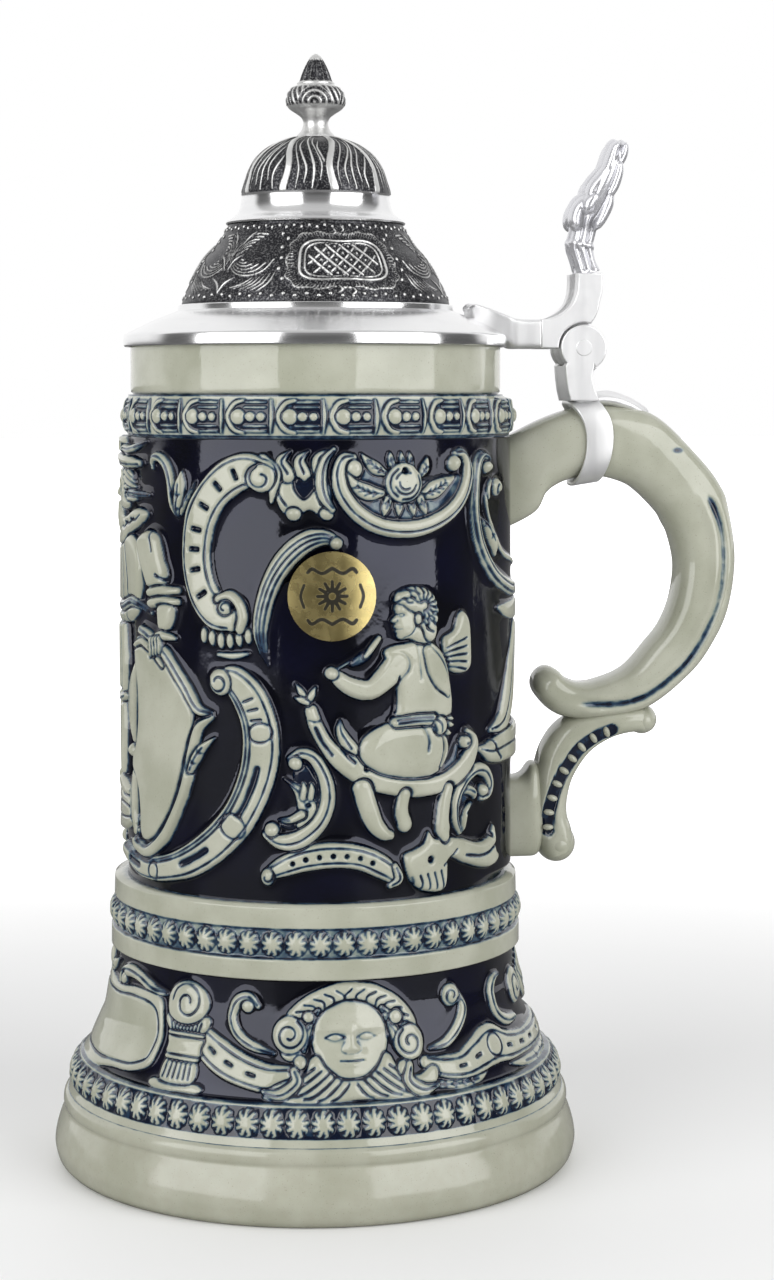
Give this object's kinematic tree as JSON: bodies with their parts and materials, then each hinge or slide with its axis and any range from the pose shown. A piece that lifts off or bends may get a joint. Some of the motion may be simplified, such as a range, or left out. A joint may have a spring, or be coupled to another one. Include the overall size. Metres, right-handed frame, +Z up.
{
  "type": "lidded beer stein",
  "caption": "Tall relief-moulded stoneware drinking mug with a flared foot, scroll handle and domed pewter lid on a thumb-lift hinge.",
  "frame": {"origin": "centre of the foot ring, on the plane it stands on", "axes": "+Z up through the lid's finial, +X towards the handle, +Y the side across"},
  "size_m": [0.1677, 0.1268, 0.2691],
  "materials": {
    "glazed_stoneware": "glossy salt glaze, near-black cobalt ground under cream relief",
    "bright_pewter": "turned and brushed",
    "antiqued_pewter": "blackened recesses, polished crests",
    "gold_foil": "metallic gold foil"
  },
  "bodies": {
    "mug": {"mug_body": "glazed_stoneware", "handle": "glazed_stoneware", "label_sticker": "gold_foil", "hinge_lug": "bright_pewter", "strap_band": "bright_pewter", "hinge_pin": "bright_pewter"},
    "lid": {"lid_flange": "bright_pewter", "lid_seat_ring": "bright_pewter", "lid_relief_band": "antiqued_pewter", "lid_neck_ring": "bright_pewter", "lid_dome": "antiqued_pewter", "lid_finial": "antiqued_pewter", "lid_shank": "bright_pewter", "lever_arm": "bright_pewter", "thumb_lift": "bright_pewter"}
  },
  "joints": [
    {"name": "lid_hinge", "type": "hinge", "parent": "mug", "child": "lid", "pos_m": [0.0653, 0, 0.1968], "axis": [0, 1, 0], "range_deg": [0, 100]}
  ]
}
